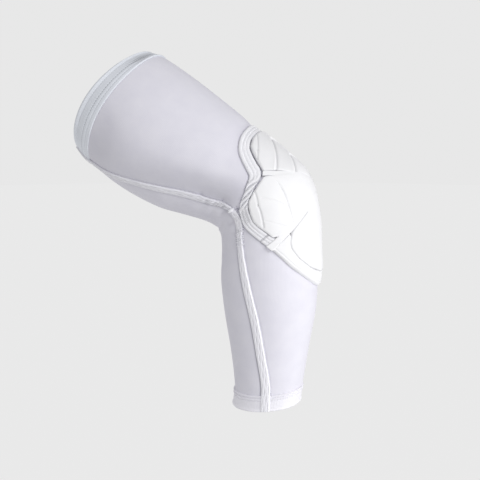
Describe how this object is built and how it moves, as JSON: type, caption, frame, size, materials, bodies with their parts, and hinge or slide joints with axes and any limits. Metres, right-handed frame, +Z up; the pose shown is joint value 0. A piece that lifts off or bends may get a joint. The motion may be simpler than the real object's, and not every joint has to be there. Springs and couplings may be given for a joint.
{
  "type": "padded arm sleeve",
  "caption": "White padded arm sleeve in its worn, bent form: a knit tube with raised side seams, elastic hems and a grooved foam pad over the elbow.",
  "frame": {"origin": "inside the elbow, where the middle line of the upper arm meets that of the forearm", "axes": "+Z up along the forearm, +X towards the outer side of the elbow, -Y the side shown in the picture"},
  "size_m": [0.2298, 0.115, 0.3252],
  "materials": {
    "knit": "fine stretch knit",
    "seam_tape": "flat stitched seam",
    "hem_band": "doubled elastic edge",
    "pad_edging": "stitched edging",
    "pad_cover": "smooth cloth over foam"
  },
  "bodies": {
    "root": {"outer_panel": "knit", "inner_panel": "knit", "seam_near": "seam_tape", "seam_far": "seam_tape", "upper_hem": "hem_band", "lower_hem": "hem_band", "pad_border": "pad_edging", "pad_lower_band": "pad_edging", "pad_upper_bar": "pad_edging", "pad_lower_bar": "pad_edging", "pad_upper_near": "pad_cover", "pad_upper_far": "pad_cover", "pad_rib_near": "pad_cover", "pad_rib_far": "pad_cover", "pad_wedge_near": "pad_cover", "pad_wedge_far": "pad_cover", "pad_side_near": "pad_cover", "pad_side_far": "pad_cover", "pad_diamond": "pad_cover", "pad_lower": "pad_cover"}
  },
  "joints": []
}
